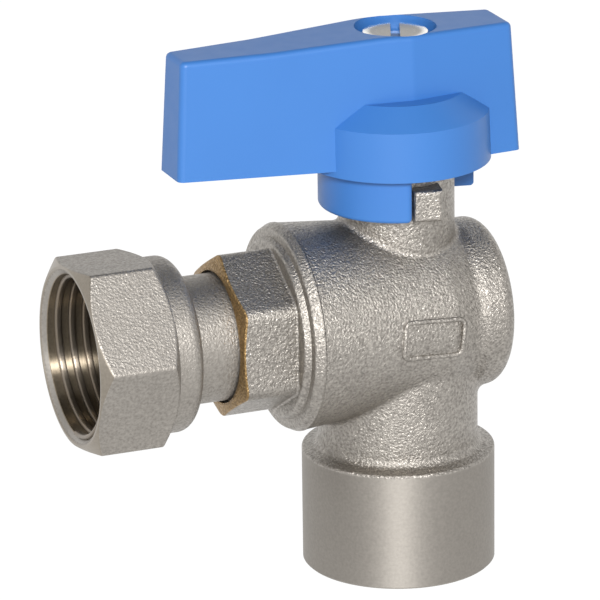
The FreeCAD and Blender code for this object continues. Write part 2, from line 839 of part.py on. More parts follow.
def make_lever_screw():
    """The slotted cheese-head screw that holds the lever on the stem."""
    head_top = head_bottom + screw_head_height
    screw = turned_about_stem([
        (0, head_bottom - screw_length),
        (screw_radius - screw_tip_chamfer, head_bottom - screw_length),
        (screw_radius, head_bottom - screw_length + screw_tip_chamfer),
        (screw_radius, head_bottom),
        (screw_head_radius, head_bottom, screw_head_rounding),
        (screw_head_radius, head_top - screw_head_chamfer),
        (screw_head_radius - screw_head_chamfer, head_top),
        (0, head_top),
    ])
    slot_corner = FreeCAD.Vector(-2 * screw_head_radius, -screw_slot_width / 2, head_top - screw_slot_depth)
    slot = Part.makeBox(4 * screw_head_radius, screw_slot_width, screw_slot_depth + past, slot_corner)
    slot.rotate(FreeCAD.Vector(0, 0, 0), Z_AXIS, screw_slot_turn)
    return screw.cut(slot)


def make_lever_spring_washer():
    inner = screw_radius + spring_washer_play
    ring = turned_about_stem([
        (inner, hub_floor),
        (spring_washer_radius, hub_floor),
        (spring_washer_radius, head_bottom),
        (inner, head_bottom),
    ])
    corner = FreeCAD.Vector(0, -spring_washer_split / 2, hub_floor)
    reach = spring_washer_radius + past
    return ring.cut(Part.makeBox(reach, spring_washer_split, spring_washer_thickness, corner))


PIECES = {
    "valve_body": make_valve_body,
    "end_connector": make_end_connector,
    "union_nut": make_union_nut,
    "union_oring_inner": lambda: make_neck_oring(inner_oring_offset),
    "union_oring_outer": lambda: make_neck_oring(outer_oring_offset),
    "union_snap_ring": make_union_snap_ring,
    "union_gasket": make_union_gasket,
    "ball": make_ball,
    "seat_ring_outlet": lambda: make_seat_ring(-1),
    "seat_ring_rear": lambda: make_seat_ring(1),
    "stem": make_stem,
    "stem_thrust_washer": make_stem_thrust_washer,
    "stem_oring_lower": lambda: make_stem_oring(lower_oring_height),
    "stem_oring_upper": lambda: make_stem_oring(lower_oring_height + oring_pitch),
    "lever": make_lever,
    "lever_screw": make_lever_screw,
    "lever_spring_washer": make_lever_spring_washer,
}


def main():
    os.makedirs("parts", exist_ok=True)
    for name, make in PIECES.items():
        shape = make()
        solids = shape.Solids
        print(name, "solids", len(solids), "volume", round(shape.Volume, 1), "valid", shape.isValid())
        shape = solids[0] if len(solids) == 1 else shape
        shape.exportStep(os.path.join("parts", name + ".step"))


if __name__ == "__main__":
    main()
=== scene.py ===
"""Looks of an angle ball valve: nickel-plated brass, a blue moulded lever and a swivelling nut."""

import json
import math

import bpy
from bpy.props import FloatProperty, FloatVectorProperty, IntProperty, PointerProperty
from mathutils import Matrix, Vector


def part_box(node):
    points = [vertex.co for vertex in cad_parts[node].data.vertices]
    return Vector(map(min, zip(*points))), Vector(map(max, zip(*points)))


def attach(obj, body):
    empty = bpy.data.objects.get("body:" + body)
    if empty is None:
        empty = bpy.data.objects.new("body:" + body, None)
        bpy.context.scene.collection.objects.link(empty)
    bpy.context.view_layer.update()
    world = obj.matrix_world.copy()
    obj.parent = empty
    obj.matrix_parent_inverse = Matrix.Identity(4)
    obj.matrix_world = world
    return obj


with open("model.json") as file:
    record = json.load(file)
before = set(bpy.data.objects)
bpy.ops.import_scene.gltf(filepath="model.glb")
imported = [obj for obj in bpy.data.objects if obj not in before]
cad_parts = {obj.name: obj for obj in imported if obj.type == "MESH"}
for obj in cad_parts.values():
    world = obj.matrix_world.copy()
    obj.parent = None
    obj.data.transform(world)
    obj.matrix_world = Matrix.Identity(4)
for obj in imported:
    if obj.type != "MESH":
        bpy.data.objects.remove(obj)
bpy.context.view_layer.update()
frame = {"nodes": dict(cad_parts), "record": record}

bl_info = {
    "name": "Angle Valve",
    "version": (1, 0, 0),
    "blender": (4, 5, 0),
    "location": "View3D > Sidebar > Angle Valve",
    "description": "Dresses an angle ball valve in its metals, plastics and threads",
    "category": "Object",
}

MM = 0.001
MOUNTS = {mount["name"]: mount for mount in frame["record"]["mounts"]}

# How strongly the nickel is dulled, worn and mottled where it is blasted, and where it is turned
DULLNESS = (0.9, 0.5)
WEAR = (-0.5, 0.10)
MOTTLING = (1.5, 0.4)


# Sizes and colours that a user would change

class MetalSettings(bpy.types.PropertyGroup):
    """The plating, the brass and the steel"""
    nickel: FloatVectorProperty(
        name="Nickel", description="Colour of the nickel plating", subtype="COLOR",
        default=(0.375, 0.350, 0.317))
    nickel_dark: FloatVectorProperty(
        name="Dull nickel", description="Colour of the plating where it is thin or dull",
        subtype="COLOR", default=(0.318, 0.293, 0.264))
    brass: FloatVectorProperty(
        name="Brass", description="Colour of the bare turned brass", subtype="COLOR",
        default=(0.36, 0.235, 0.105))
    steel: FloatVectorProperty(
        name="Steel", description="Colour of the plated steel screw", subtype="COLOR",
        default=(0.48, 0.455, 0.405))
    # Painted shade: the bore colour is a darker, bronze-tinted nickel that stands in for the shade
    # inside the union nut
    bore: FloatVectorProperty(
        name="Bore", description="Colour of the thin, dark plating inside the union nut",
        subtype="COLOR", default=(0.27, 0.225, 0.165))
    bore_roughness: FloatProperty(
        name="Bore roughness", description="Roughness of the union nut's bore",
        subtype="FACTOR", min=0, max=1, default=0.35)
    grain: FloatProperty(
        name="Blasting grain", description="Size of the dimples that blasting left",
        subtype="DISTANCE", unit="LENGTH", default=0.38 * MM, precision=5)
    grain_depth: FloatProperty(
        name="Grain depth", description="Depth of the blasted dimples",
        subtype="DISTANCE", unit="LENGTH", default=0.26 * MM, precision=5)
    blasted_roughness: FloatProperty(
        name="Blasted roughness", description="Roughness of the blasted faces",
        subtype="FACTOR", min=0, max=1, default=0.40)
    turned_roughness: FloatProperty(
        name="Turned roughness", description="Roughness of the turned faces",
        subtype="FACTOR", min=0, max=1, default=0.40)
    socket_roughness: FloatProperty(
        name="Socket roughness", description="Roughness of the turned inlet socket",
        subtype="FACTOR", min=0, max=1, default=0.64)
    turning_stretch: FloatProperty(
        name="Turning stretch", description="How much fine turning draws a highlight out across it",
        subtype="FACTOR", min=0, max=1, default=0.70)
    turning_pitch: FloatProperty(
        name="Turning pitch", description="Spacing of the fine lines on turned faces",
        subtype="DISTANCE", unit="LENGTH", default=0.25 * MM, precision=5)


class LeverSettings(bpy.types.PropertyGroup):
    """The lever's plastic"""
    plastic: FloatVectorProperty(
        name="Plastic", description="Colour of the moulded lever", subtype="COLOR",
        default=(0.047, 0.194, 0.545))
    plastic_deep: FloatVectorProperty(
        name="Deep plastic", description="Colour of the lever in its slightly darker patches",
        subtype="COLOR", default=(0.043, 0.178, 0.51))
    roughness: FloatProperty(
        name="Roughness", description="Roughness of the moulded plastic",
        subtype="FACTOR", min=0, max=1, default=0.42)
    texture: FloatProperty(
        name="Mould texture", description="Size of the mould's fine texture",
        subtype="DISTANCE", unit="LENGTH", default=0.22 * MM, precision=5)


class ThreadSettings(bpy.types.PropertyGroup):
    """The thread turns in the union nut and in the inlet socket"""
    pitch: FloatProperty(
        name="Pitch", description="Distance from one thread turn to the next",
        subtype="DISTANCE", unit="LENGTH", default=2.309 * MM, precision=5)
    depth: FloatProperty(
        name="Depth", description="Height of the thread's ridge",
        subtype="DISTANCE", unit="LENGTH", default=0.80 * MM, precision=5)
    crest: FloatProperty(
        name="Crest", description="Width of the ridge at its crest, as a share of the pitch",
        subtype="FACTOR", min=0, max=1, default=0.33)
    steps: IntProperty(
        name="Steps", description="Number of steps in one turn", min=12, default=96)


class CastFrameSettings(bpy.types.PropertyGroup):
    """The raised frame on the barrel"""
    width: FloatProperty(
        name="Width", description="Length of the raised frame along the barrel",
        subtype="DISTANCE", unit="LENGTH", default=10.6 * MM, precision=5)
    height: FloatProperty(
        name="Height", description="Height of the raised frame round the barrel",
        subtype="DISTANCE", unit="LENGTH", default=6.0 * MM, precision=5)
    bead: FloatProperty(
        name="Bead", description="Radius of the raised line",
        subtype="DISTANCE", unit="LENGTH", default=0.42 * MM, precision=5)
    turn: FloatProperty(
        name="Turn", description="How far the frame leans on the barrel",
        subtype="ANGLE", unit="ROTATION", default=math.radians(-5.0))


class StageSettings(bpy.types.PropertyGroup):
    """The camera and the floor"""
    azimuth: FloatProperty(
        name="Azimuth", description="Direction of the camera round the valve",
        subtype="ANGLE", unit="ROTATION", default=math.radians(-21.788))
    elevation: FloatProperty(
        name="Elevation", description="Height of the camera as an angle",
        subtype="ANGLE", unit="ROTATION", default=math.radians(18.531))
    roll: FloatProperty(
        name="Roll", description="Lean of the camera",
        subtype="ANGLE", unit="ROTATION", default=math.radians(-0.751))
    distance: FloatProperty(
        name="Distance", description="Distance from the camera to the valve",
        subtype="DISTANCE", unit="LENGTH", default=844.95 * MM)
    aside: FloatProperty(
        name="Aside", description="How far the camera stands to the right of the origin",
        subtype="DISTANCE", unit="LENGTH", default=-16.256 * MM, precision=5)
    raised: FloatProperty(
        name="Raised", description="How far the camera stands above the origin",
        subtype="DISTANCE", unit="LENGTH", default=41.847 * MM, precision=5)
    lens: FloatProperty(
        name="Lens", description="Focal length of the camera in millimetres", min=1,
        default=308.01)
    paper: FloatVectorProperty(
        name="Paper", description="Colour of the floor in the light that it throws back",
        subtype="COLOR", default=(0.86, 0.86, 0.86))


# Small helpers for node trees

def node(tree, kind, sockets=None, **settings):
    """A node; sockets maps an input's name or number to a value or to another node's output."""
    made = tree.nodes.new(kind)
    for name, value in settings.items():
        setattr(made, name, value)
    for name, value in (sockets or {}).items():
        if isinstance(value, bpy.types.NodeSocket):
            tree.links.new(value, made.inputs[name])
        else:
            made.inputs[name].default_value = value
    return made


def maths(tree, operation, *values):
    """The output of one Math node."""
    return node(tree, "ShaderNodeMath", dict(enumerate(values)), operation=operation).outputs[0]


def both(tree, first, second):
    """A mask of what lies in two masks, or one number times another."""
    return maths(tree, "MULTIPLY", first, second)


def either(tree, first, second):
    """A mask of what lies in one of two masks, or the larger of two numbers."""
    return maths(tree, "MAXIMUM", first, second)


def blend_values(tree, factor, low, high):
    """A number that goes from low to high with a factor."""
    sockets = {"Factor": factor, "A": low, "B": high}
    return node(tree, "ShaderNodeMix", sockets, data_type="FLOAT").outputs[0]


def blend_colours(tree, factor, low, high):
    """A colour that goes from low to high with a factor; each is an output or a plain colour.

    The node's colour sockets share their names with its other ones, so they go by number.
    """
    factor_input, low_input, high_input, colour_output = 0, 6, 7, 2
    mixer = node(tree, "ShaderNodeMix", {factor_input: factor}, data_type="RGBA")
    for number, value in ((low_input, low), (high_input, high)):
        if isinstance(value, bpy.types.NodeSocket):
            tree.links.new(value, mixer.inputs[number])
        else:
            mixer.inputs[number].default_value = (*value, 1)
    return mixer.outputs[colour_output]


def shaded(colour, share):
    """A plain colour made darker."""
    return tuple(share * channel for channel in colour)


def step_up(tree, value, low, high):
    """A mask that climbs smoothly from 0 at low to 1 at high."""
    sockets = {"Value": value, "From Min": low, "From Max": high}
    return node(tree, "ShaderNodeMapRange", sockets, interpolation_type="SMOOTHSTEP").outputs[0]


def noise(tree, place, size, detail=2.0, roughness=0.5):
    """Noise between 0 and 1 whose features are about one size across."""
    sockets = {"Vector": place, "Scale": 1 / size, "Detail": detail, "Roughness": roughness}
    return node(tree, "ShaderNodeTexNoise", sockets).outputs[0]


def turning_lines(tree, feed, pitch, detail):
    """Noise that changes only along a tool's feed, as the fine lines of turning do."""
    across = node(tree, "ShaderNodeCombineXYZ", {"X": maths(tree, "MULTIPLY", feed, 1 / pitch)})
    return noise(tree, across.outputs[0], 1.0, detail)


def new_finish(name, metallic):
    """An empty Principled material, with the place on the object as its only coordinate."""
    material = bpy.data.materials.new(name)
    material.use_nodes = True
    tree = material.node_tree
    shader = tree.nodes["Principled BSDF"]
    shader.inputs["Metallic"].default_value = metallic
    place = node(tree, "ShaderNodeTexCoord").outputs["Object"]
    return material, tree, shader, place


def split(tree, place):
    """The X, Y and Z of a place."""
    return node(tree, "ShaderNodeSeparateXYZ", {"Vector": place}).outputs


def bumped(tree, shader, heights):
    """Stacks bump nodes on the shader; heights lists (height, depth in metres, strength)."""
    normal = None
    for height, depth, strength in heights:
        sockets = {"Height": height, "Distance": depth, "Strength": strength}
        if normal is not None:
            sockets["Normal"] = normal
        normal = node(tree, "ShaderNodeBump", sockets).outputs[0]
    tree.links.new(normal, shader.inputs["Normal"])


def draw_out(tree, shader, feed_axis):
    """Draws a shader's highlights out along the axis that the turning tool fed along.

    The direction leans a little off the axis, because on a face square to it there is none.
    """
    along = {"X": (1, 0.02, 0.03), "Z": (0.02, 0.03, 1)}[feed_axis]
    fed = node(tree, "ShaderNodeCombineXYZ", dict(zip("XYZ", along))).outputs[0]
    tree.links.new(fed, shader.inputs["Tangent"])


def seen_or_mirrored(tree):
    """A mask that is 1 for the camera's rays and for mirrored ones, and 0 for scattered light."""
    path = node(tree, "ShaderNodeLightPath").outputs
    mirrored = either(tree, path["Is Glossy Ray"], path["Is Transmission Ray"])
    return either(tree, path["Is Camera Ray"], mirrored)


def paint(obj, material):
    """Gives an object one material on all its faces."""
    obj.data.materials.clear()
    obj.data.materials.append(material)
    for face in obj.data.polygons:
        face.material_index = 0


def dress(name, material):
    """Gives a node of the frame its finish."""
    paint(frame["nodes"][name], material)


def linked(name, data):
    """A new object in the scene."""
    made = bpy.data.objects.new(name, data)
    bpy.context.scene.collection.objects.link(made)
    return made


def plain_mesh(holder):
    """The mesh that an object comes to with its curve or modifier applied; the object goes."""
    graph = bpy.context.evaluated_depsgraph_get()
    mesh = bpy.data.meshes.new_from_object(holder.evaluated_get(graph))
    bpy.data.objects.remove(holder)
    return mesh


# Places on the valve

def outlet_line():
    """The height of the outlet line."""
    low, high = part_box("union_nut")
    return (low.z + high.z) / 2


def distance_from_axis(tree, first, second):
    """The length of a vector across an axis, from its two parts."""
    squares = maths(tree, "ADD", maths(tree, "MULTIPLY", first, first),
                    maths(tree, "MULTIPLY", second, second))
    return maths(tree, "SQRT", squares)


def radius_about_outlet(tree, axes):
    """The distance of a shading point from the outlet line."""
    rise = maths(tree, "SUBTRACT", axes["Z"], outlet_line())
    return distance_from_axis(tree, axes["Y"], rise)


def radius_about_stem(tree, axes):
    """The distance of a shading point from the stem's axis."""
    return distance_from_axis(tree, axes["X"], axes["Y"])


def before_cone(tree, axes, face, edge_radius, angle):
    """A mask of a piece's front on the outlet line: its flat face, and the cone outside it."""
    outside = maths(tree, "SUBTRACT", radius_about_outlet(tree, axes), edge_radius)
    cone = maths(tree, "MULTIPLY_ADD", either(tree, outside, 0.0), math.tan(angle), face)
    return maths(tree, "LESS_THAN", axes["X"], cone)


# Finishes

def nickel_finish(name, metals, turned_mask, feed_axis, turned_roughness, brass_mask=None,
                  bore_shade_mask=None, softness=0.0):
    """Nickel plating, blasted where a mask is 0 and turned where it is 1.

    Each mask is a function of the tree and the axes. turned_mask gives the turned zones,
    brass_mask those that were cut after plating, and bore_shade_mask those painted darker and
    bronze as the shade deep in a bore. feed_axis is the letter of the axis that the turning tool
    fed along. softness, from 0 to 1, makes a piece's blasting shallower and duller.
    """
    material, tree, shader, place = new_finish(name, 1.0)
    axes = split(tree, place)
    turned = turned_mask(tree, axes)
    blasted = maths(tree, "SUBTRACT", 1.0, turned)
    speckle = maths(tree, "SUBTRACT", noise(tree, place, 1.2 * metals.grain), 0.5)

    patches = noise(tree, place, 7 * MM, detail=3.0)
    dullness = maths(tree, "MULTIPLY", patches, blend_values(tree, turned, *DULLNESS))
    colour = blend_colours(tree, dullness, metals.nickel, metals.nickel_dark)
    blasted_roughness = metals.blasted_roughness + 0.2 * softness
    roughness = blend_values(tree, turned, blasted_roughness, turned_roughness)
    stretch = maths(tree, "MULTIPLY", turned, metals.turning_stretch)
    if brass_mask is not None:
        tarnished = shaded(metals.brass, 0.72)
        tarnish = noise(tree, place, 2.5 * MM, detail=4.0)
        bare = blend_colours(tree, tarnish, metals.brass, tarnished)
        colour = blend_colours(tree, brass_mask(tree, axes), colour, bare)
    # Painted shade: where this mask is full the colour goes to the dark bronze bore colour,
    # standing in for the shade in the nut's bore and on part of its front
    if bore_shade_mask is not None:
        bore_stretch = 0.95
        deep = bore_shade_mask(tree, axes)
        colour = blend_colours(tree, deep, colour, metals.bore)
        roughness = blend_values(tree, deep, roughness, metals.bore_roughness)
        stretch = either(tree, stretch, maths(tree, "MULTIPLY", deep, bore_stretch))

    blasted_mottling, turned_mottling = MOTTLING
    mottling = blend_values(tree, turned, (1 - softness) * blasted_mottling, turned_mottling)
    tint = maths(tree, "MULTIPLY_ADD", speckle, mottling, 1.0)
    tinted = node(tree, "ShaderNodeVectorMath", {0: colour, "Scale": tint}, operation="SCALE")
    worn = maths(tree, "MULTIPLY", speckle, blend_values(tree, turned, *WEAR))
    tree.links.new(tinted.outputs[0], shader.inputs["Base Color"])
    tree.links.new(maths(tree, "ADD", roughness, worn), shader.inputs["Roughness"])
    tree.links.new(stretch, shader.inputs["Anisotropic"])
    draw_out(tree, shader, feed_axis)

    grain = noise(tree, place, metals.grain, detail=3.0, roughness=0.55)
    waves = noise(tree, place, 3 * MM)
    lines = turning_lines(tree, axes[feed_axis], metals.turning_pitch, 3.0)
    bumped(tree, shader, [
        (grain, (1 - softness) * metals.grain_depth, blasted),
        (waves, 0.12 * MM, maths(tree, "MULTIPLY", blasted, 0.5)),
        (lines, 0.02 * MM, turned),
    ])
    return material


def body_finish(metals):
    """The forged body: blasted, but for the turned socket."""
    shoulder = 18.9 * MM
    blur = 0.4 * MM

    def turned(tree, axes):
        return maths(tree, "SUBTRACT", 1.0, step_up(tree, axes["Z"], shoulder, shoulder + blur))

    return nickel_finish("blasted nickel body", metals, turned, "Z", metals.socket_roughness)


def connector_finish(metals):
    """The end connector: blasted, smoother on its flange, with a front cut through the plating."""
    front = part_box("end_connector")[0].x
    flange = front + 9.5 * MM
    blur = 0.3 * MM
    smoothness = 0.12
    front_depth = 0.25 * MM
    edge_radius = 11.1 * MM
    chamfer = math.radians(18.0)

    def turned(tree, axes):
        return both(tree, step_up(tree, axes["X"], flange - blur, flange + blur), smoothness)

    def cut(tree, axes):
        return before_cone(tree, axes, front + front_depth, edge_radius, chamfer)

    return nickel_finish("end connector metal", metals, turned, "X", metals.turned_roughness, cut)


def nut_finish(metals):
    """The union nut: softly blasted outside, with a turned front and a turned bore, both painted
    darker as shade.
    """
    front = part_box("union_nut")[0].x
    front_depth = 0.15 * MM
    edge_radius = 14.6 * MM
    chamfer = math.radians(32.0)
    bore = MOUNTS["union_thread"]["dims"]["r_mm"] * MM
    bore_margin = 0.6 * MM
    bore_end = front + 13 * MM
    rim_end = front + 0.8 * MM
    # Share of painted shade on the turned front face
    front_painted_shade = 0.5

    def face(tree, axes):
        return before_cone(tree, axes, front + front_depth, edge_radius, chamfer)

    def inner(tree, axes):
        near = maths(tree, "LESS_THAN", radius_about_outlet(tree, axes), bore + bore_margin)
        return both(tree, near, maths(tree, "LESS_THAN", axes["X"], bore_end))

    def turned(tree, axes):
        return either(tree, face(tree, axes), inner(tree, axes))

    # Painted shade: the bore past its rim is darkened fully, the front face by this share
    def deep(tree, axes):
        inside = both(tree, inner(tree, axes), maths(tree, "GREATER_THAN", axes["X"], rim_end))
        return either(tree, inside, both(tree, face(tree, axes), front_painted_shade))

    return nickel_finish("union nut metal", metals, turned, "X", metals.turned_roughness,
                         bore_shade_mask=deep, softness=0.5)


def thread_finish(name, metals, feed_axis):
    """Cut thread turns, where thin plating lets the brass through, darkened as painted shade."""
    material, tree, shader, place = new_finish(name, 1.0)
    # Painted shade: the nickel and the brass are both darkened, standing in for the shade inside
    # the bores
    thread_shade_share = 0.65
    thin = maths(tree, "MULTIPLY", noise(tree, place, 9 * MM), 0.7)
    colour = blend_colours(tree, thin, shaded(metals.nickel, thread_shade_share),
                           shaded(metals.brass, thread_shade_share))
    tree.links.new(colour, shader.inputs["Base Color"])
    scuffs = noise(tree, place, 0.8 * MM, detail=3.0)
    tree.links.new(maths(tree, "MULTIPLY_ADD", scuffs, 0.10, 0.30), shader.inputs["Roughness"])
    shader.inputs["Anisotropic"].default_value = 0.9
    draw_out(tree, shader, feed_axis)
    bumped(tree, shader, [(noise(tree, place, 0.5 * MM), 0.02 * MM, 0.6)])
    return material


def turned_finish(name, colour, dark, roughness, radial, rim_highlight=None):
    """Turned bare metal with fine tool lines, round the stem where radial or along it.

    rim_highlight is a painted highlight along a polished edge: its colour, and the radii
    where it starts and is full.
    """
    material, tree, shader, place = new_finish(name, 1.0)
    axes = split(tree, place)
    feed = radius_about_stem(tree, axes) if radial else axes["Z"]
    lines = turning_lines(tree, feed, 0.3 * MM, 4.0)
    stains = noise(tree, place, 1.5 * MM, detail=4.0)
    metal = blend_colours(tree, stains, colour, dark)
    polish = maths(tree, "MULTIPLY_ADD", lines, 0.25, roughness - 0.12)
    # Painted highlight: the rim's colour is blended in; its low roughness is the edge's real polish
    if rim_highlight is not None:
        highlight_colour, start, full = rim_highlight
        edge = step_up(tree, feed, start, full)
        metal = blend_colours(tree, edge, metal, highlight_colour)
        polish = blend_values(tree, edge, polish, 0.12)
    tree.links.new(metal, shader.inputs["Base Color"])
    tree.links.new(polish, shader.inputs["Roughness"])
    bumped(tree, shader, [
        (lines, 0.03 * MM, 0.8),
        (noise(tree, place, 0.9 * MM, detail=3.0), 0.04 * MM, 0.5),
    ])
    return material


def plastic_finish(name, colour, deep, roughness, texture, depth):
    """Moulded plastic or rubber with a fine mould texture and faint flow patches."""
    material, tree, shader, place = new_finish(name, 0.0)
    flow = noise(tree, place, 14 * MM, detail=3.0)
    tree.links.new(blend_colours(tree, flow, colour, deep), shader.inputs["Base Color"])
    scuffs = noise(tree, place, 2.2 * MM, detail=4.0)
    polish = maths(tree, "MULTIPLY_ADD", scuffs, 0.12, roughness - 0.06)
    tree.links.new(polish, shader.inputs["Roughness"])
    bumped(tree, shader, [
        (noise(tree, place, texture), depth, 0.5),
        (noise(tree, place, 9 * MM), 0.10 * MM, 0.25),
    ])
    return material


def polished_finish():
    """The ball's polished chrome, with faint wipe marks."""
    material, tree, shader, place = new_finish("polished chrome", 1.0)
    wipes = noise(tree, place, 4 * MM, detail=4.0)
    colour = blend_colours(tree, wipes, (0.62, 0.63, 0.65), (0.56, 0.57, 0.59))
    tree.links.new(colour, shader.inputs["Base Color"])
    tree.links.new(maths(tree, "MULTIPLY_ADD", wipes, 0.12, 0.04), shader.inputs["Roughness"])
    bumped(tree, shader, [(noise(tree, place, 1.2 * MM), 0.004 * MM, 0.5)])
    return material


# Geometry Nodes for the thread turns

def thread_tree():
    """A node tree that winds a rounded trapezoid ridge along the inside of a bore.

    The ridge runs out to nothing over the first and the last part of a turn.
    """
    run_out = 0.35
    thinnest = 0.02
    root_share = 0.96
    tree = bpy.data.node_groups.new("thread turns", "GeometryNodeTree")
    for label, kind in (("Bore", "NodeSocketFloat"), ("Pitch", "NodeSocketFloat"),
                        ("Length", "NodeSocketFloat"), ("Depth", "NodeSocketFloat"),
                        ("Crest", "NodeSocketFloat"), ("Steps", "NodeSocketInt"),
                        ("Finish", "NodeSocketMaterial")):
        tree.interface.new_socket(label, in_out="INPUT", socket_type=kind)
    tree.interface.new_socket("Thread", in_out="OUTPUT", socket_type="NodeSocketGeometry")
    given = node(tree, "NodeGroupInput").outputs

    turns = maths(tree, "DIVIDE", given["Length"], given["Pitch"])
    spiral = node(tree, "GeometryNodeCurveSpiral", {
        "Resolution": given["Steps"], "Rotations": turns, "Start Radius": given["Bore"],
        "End Radius": given["Bore"], "Height": given["Length"]}).outputs[0]
    level = node(tree, "GeometryNodeSetCurveNormal", {"Curve": spiral}, mode="Z_UP").outputs[0]
    lead = maths(tree, "DIVIDE", run_out, turns)
    gone = node(tree, "GeometryNodeSplineParameter").outputs["Factor"]
    left = maths(tree, "SUBTRACT", 1.0, gone)
    rise = node(tree, "ShaderNodeMapRange", {"Value": gone, "From Max": lead}).outputs[0]
    fall = node(tree, "ShaderNodeMapRange", {"Value": left, "From Max": lead}).outputs[0]
    taper = either(tree, maths(tree, "MINIMUM", rise, fall), thinnest)
    path = node(tree, "GeometryNodeSetCurveRadius", {"Curve": level, "Radius": taper}).outputs[0]

    root = maths(tree, "MULTIPLY", given["Pitch"], root_share)
    crest = maths(tree, "MULTIPLY", given["Pitch"], given["Crest"])
    trapezoid = node(tree, "GeometryNodeCurvePrimitiveQuadrilateral", {
        "Bottom Width": root, "Top Width": crest, "Offset": 0.0, "Height": given["Depth"]},
        mode="TRAPEZOID").outputs[0]
    half = maths(tree, "MULTIPLY", given["Depth"], 0.5)
    lift = node(tree, "ShaderNodeCombineXYZ", {"Y": half}).outputs[0]
    raised = node(tree, "GeometryNodeTransform", {
        "Geometry": trapezoid, "Translation": lift}).outputs[0]
    inward = node(tree, "GeometryNodeTransform", {
        "Geometry": raised, "Rotation": (0, 0, -math.pi / 2)}).outputs[0]
    rounding = maths(tree, "MULTIPLY", crest, 0.5)
    profile = node(tree, "GeometryNodeFilletCurve", {
        "Curve": inward, "Radius": rounding, "Limit Radius": True, "Count": 4},
        mode="POLY").outputs[0]

    swept = node(tree, "GeometryNodeCurveToMesh", {
        "Curve": path, "Profile Curve": profile, "Fill Caps": True}).outputs[0]
    smooth = node(tree, "GeometryNodeSetShadeSmooth", {
        "Geometry": swept, "Shade Smooth": True}).outputs[0]
    real = node(tree, "GeometryNodeRealizeInstances", {"Geometry": smooth}).outputs[0]
    finished = node(tree, "GeometryNodeSetMaterial", {
        "Geometry": real, "Material": given["Finish"]}).outputs[0]
    node(tree, "NodeGroupOutput", {"Thread": finished})
    return tree


def wind_thread(name, tree, values, place):
    """The thread in one bore as a plain mesh, wound by the node tree and set in place."""
    holder = linked(name + "_holder", bpy.data.meshes.new(name + "_holder"))
    winding = holder.modifiers.new("thread", "NODES")
    winding.node_group = tree
    for socket in tree.interface.items_tree:
        if socket.in_out == "INPUT":
            winding[socket.identifier] = values[socket.name]
    mesh = plain_mesh(holder)
    mesh.transform(place)
    return linked(name, mesh)


# The line of the raised frame

def rounded_rectangle(width, height, corner, spacing):
    """Points round a rectangle with rounded corners, no further apart than about the spacing."""
    outline = []
    for side_x, side_y, start in ((1, 1, 0), (-1, 1, 90), (-1, -1, 180), (1, -1, 270)):
        for turned in (0, 22.5, 45, 67.5, 90):
            angle = math.radians(start + turned)
            outline.append((side_x * (width / 2 - corner) + corner * math.cos(angle),
                            side_y * (height / 2 - corner) + corner * math.sin(angle)))
    points = []
    for (x, y), (ahead_x, ahead_y) in zip(outline, outline[1:] + outline[:1]):
        steps = max(1, round(math.hypot(ahead_x - x, ahead_y - y) / spacing))
        for step in range(steps):
            share = step / steps
            points.append((x + (ahead_x - x) * share, y + (ahead_y - y) * share))
    return points


def on_barrel(x, y, settings):
    """Lays a point of the raised frame on the near side of the barrel, a little sunk into it.

    The barrel is conical, and joint is its end at the end connector.
    """
    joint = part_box("valve_body")[0].x
    joint_radius = 16.85 * MM
    taper = math.tan(math.radians(5.0))
    middle_x, middle_rise = 0.1 * MM, -0.2 * MM
    sunk = 0.15 * settings.bead
    cos, sin = math.cos(settings.turn), math.sin(settings.turn)
    along = x * cos - y * sin + middle_x
    radius = joint_radius - taper * (along - joint) - sunk
    lean = (x * sin + y * cos + middle_rise) / radius
    return along, -radius * math.cos(lean), outlet_line() + radius * math.sin(lean)


# Operators: one for each piece or group of like pieces, and one for the stage

class ANGLEVALVE_OT_body(bpy.types.Operator):
    """Gives the forged body its blasted and turned nickel plating"""
    bl_idname = "angle_valve.body"
    bl_label = "Valve body"

    def execute(self, context):
        dress("valve_body", body_finish(context.scene.valve_metals))
        return {"FINISHED"}


class ANGLEVALVE_OT_cast_frame(bpy.types.Operator):
    """Raises the bare forged frame on the barrel's near side"""
    bl_idname = "angle_valve.cast_frame"
    bl_label = "Raised frame"

    def execute(self, context):
        settings = context.scene.valve_cast_frame
        points = rounded_rectangle(settings.width, settings.height, corner=1.0 * MM,
                                   spacing=0.5 * MM)
        curve = bpy.data.curves.new("raised_frame_line", "CURVE")
        curve.dimensions = "3D"
        curve.bevel_depth = settings.bead
        curve.bevel_resolution = 3
        line = curve.splines.new("POLY")
        line.points.add(len(points) - 1)
        line.use_cyclic_u = True
        for point, (x, y) in zip(line.points, points):
            point.co = (*on_barrel(x, y, settings), 1)
        piece = linked("raised_frame", plain_mesh(linked("raised_frame_line", curve)))
        for face in piece.data.polygons:
            face.use_smooth = True
        paint(piece, frame["nodes"]["valve_body"].data.materials[0])
        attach(piece, "housing")
        return {"FINISHED"}


class ANGLEVALVE_OT_connector(bpy.types.Operator):
    """Gives the end connector its plating and its bare brass front"""
    bl_idname = "angle_valve.connector"
    bl_label = "End connector"

    def execute(self, context):
        dress("end_connector", connector_finish(context.scene.valve_metals))
        return {"FINISHED"}


class ANGLEVALVE_OT_union_nut(bpy.types.Operator):
    """Gives the union nut its plating"""
    bl_idname = "angle_valve.union_nut"
    bl_label = "Union nut"

    def execute(self, context):
        dress("union_nut", nut_finish(context.scene.valve_metals))
        return {"FINISHED"}


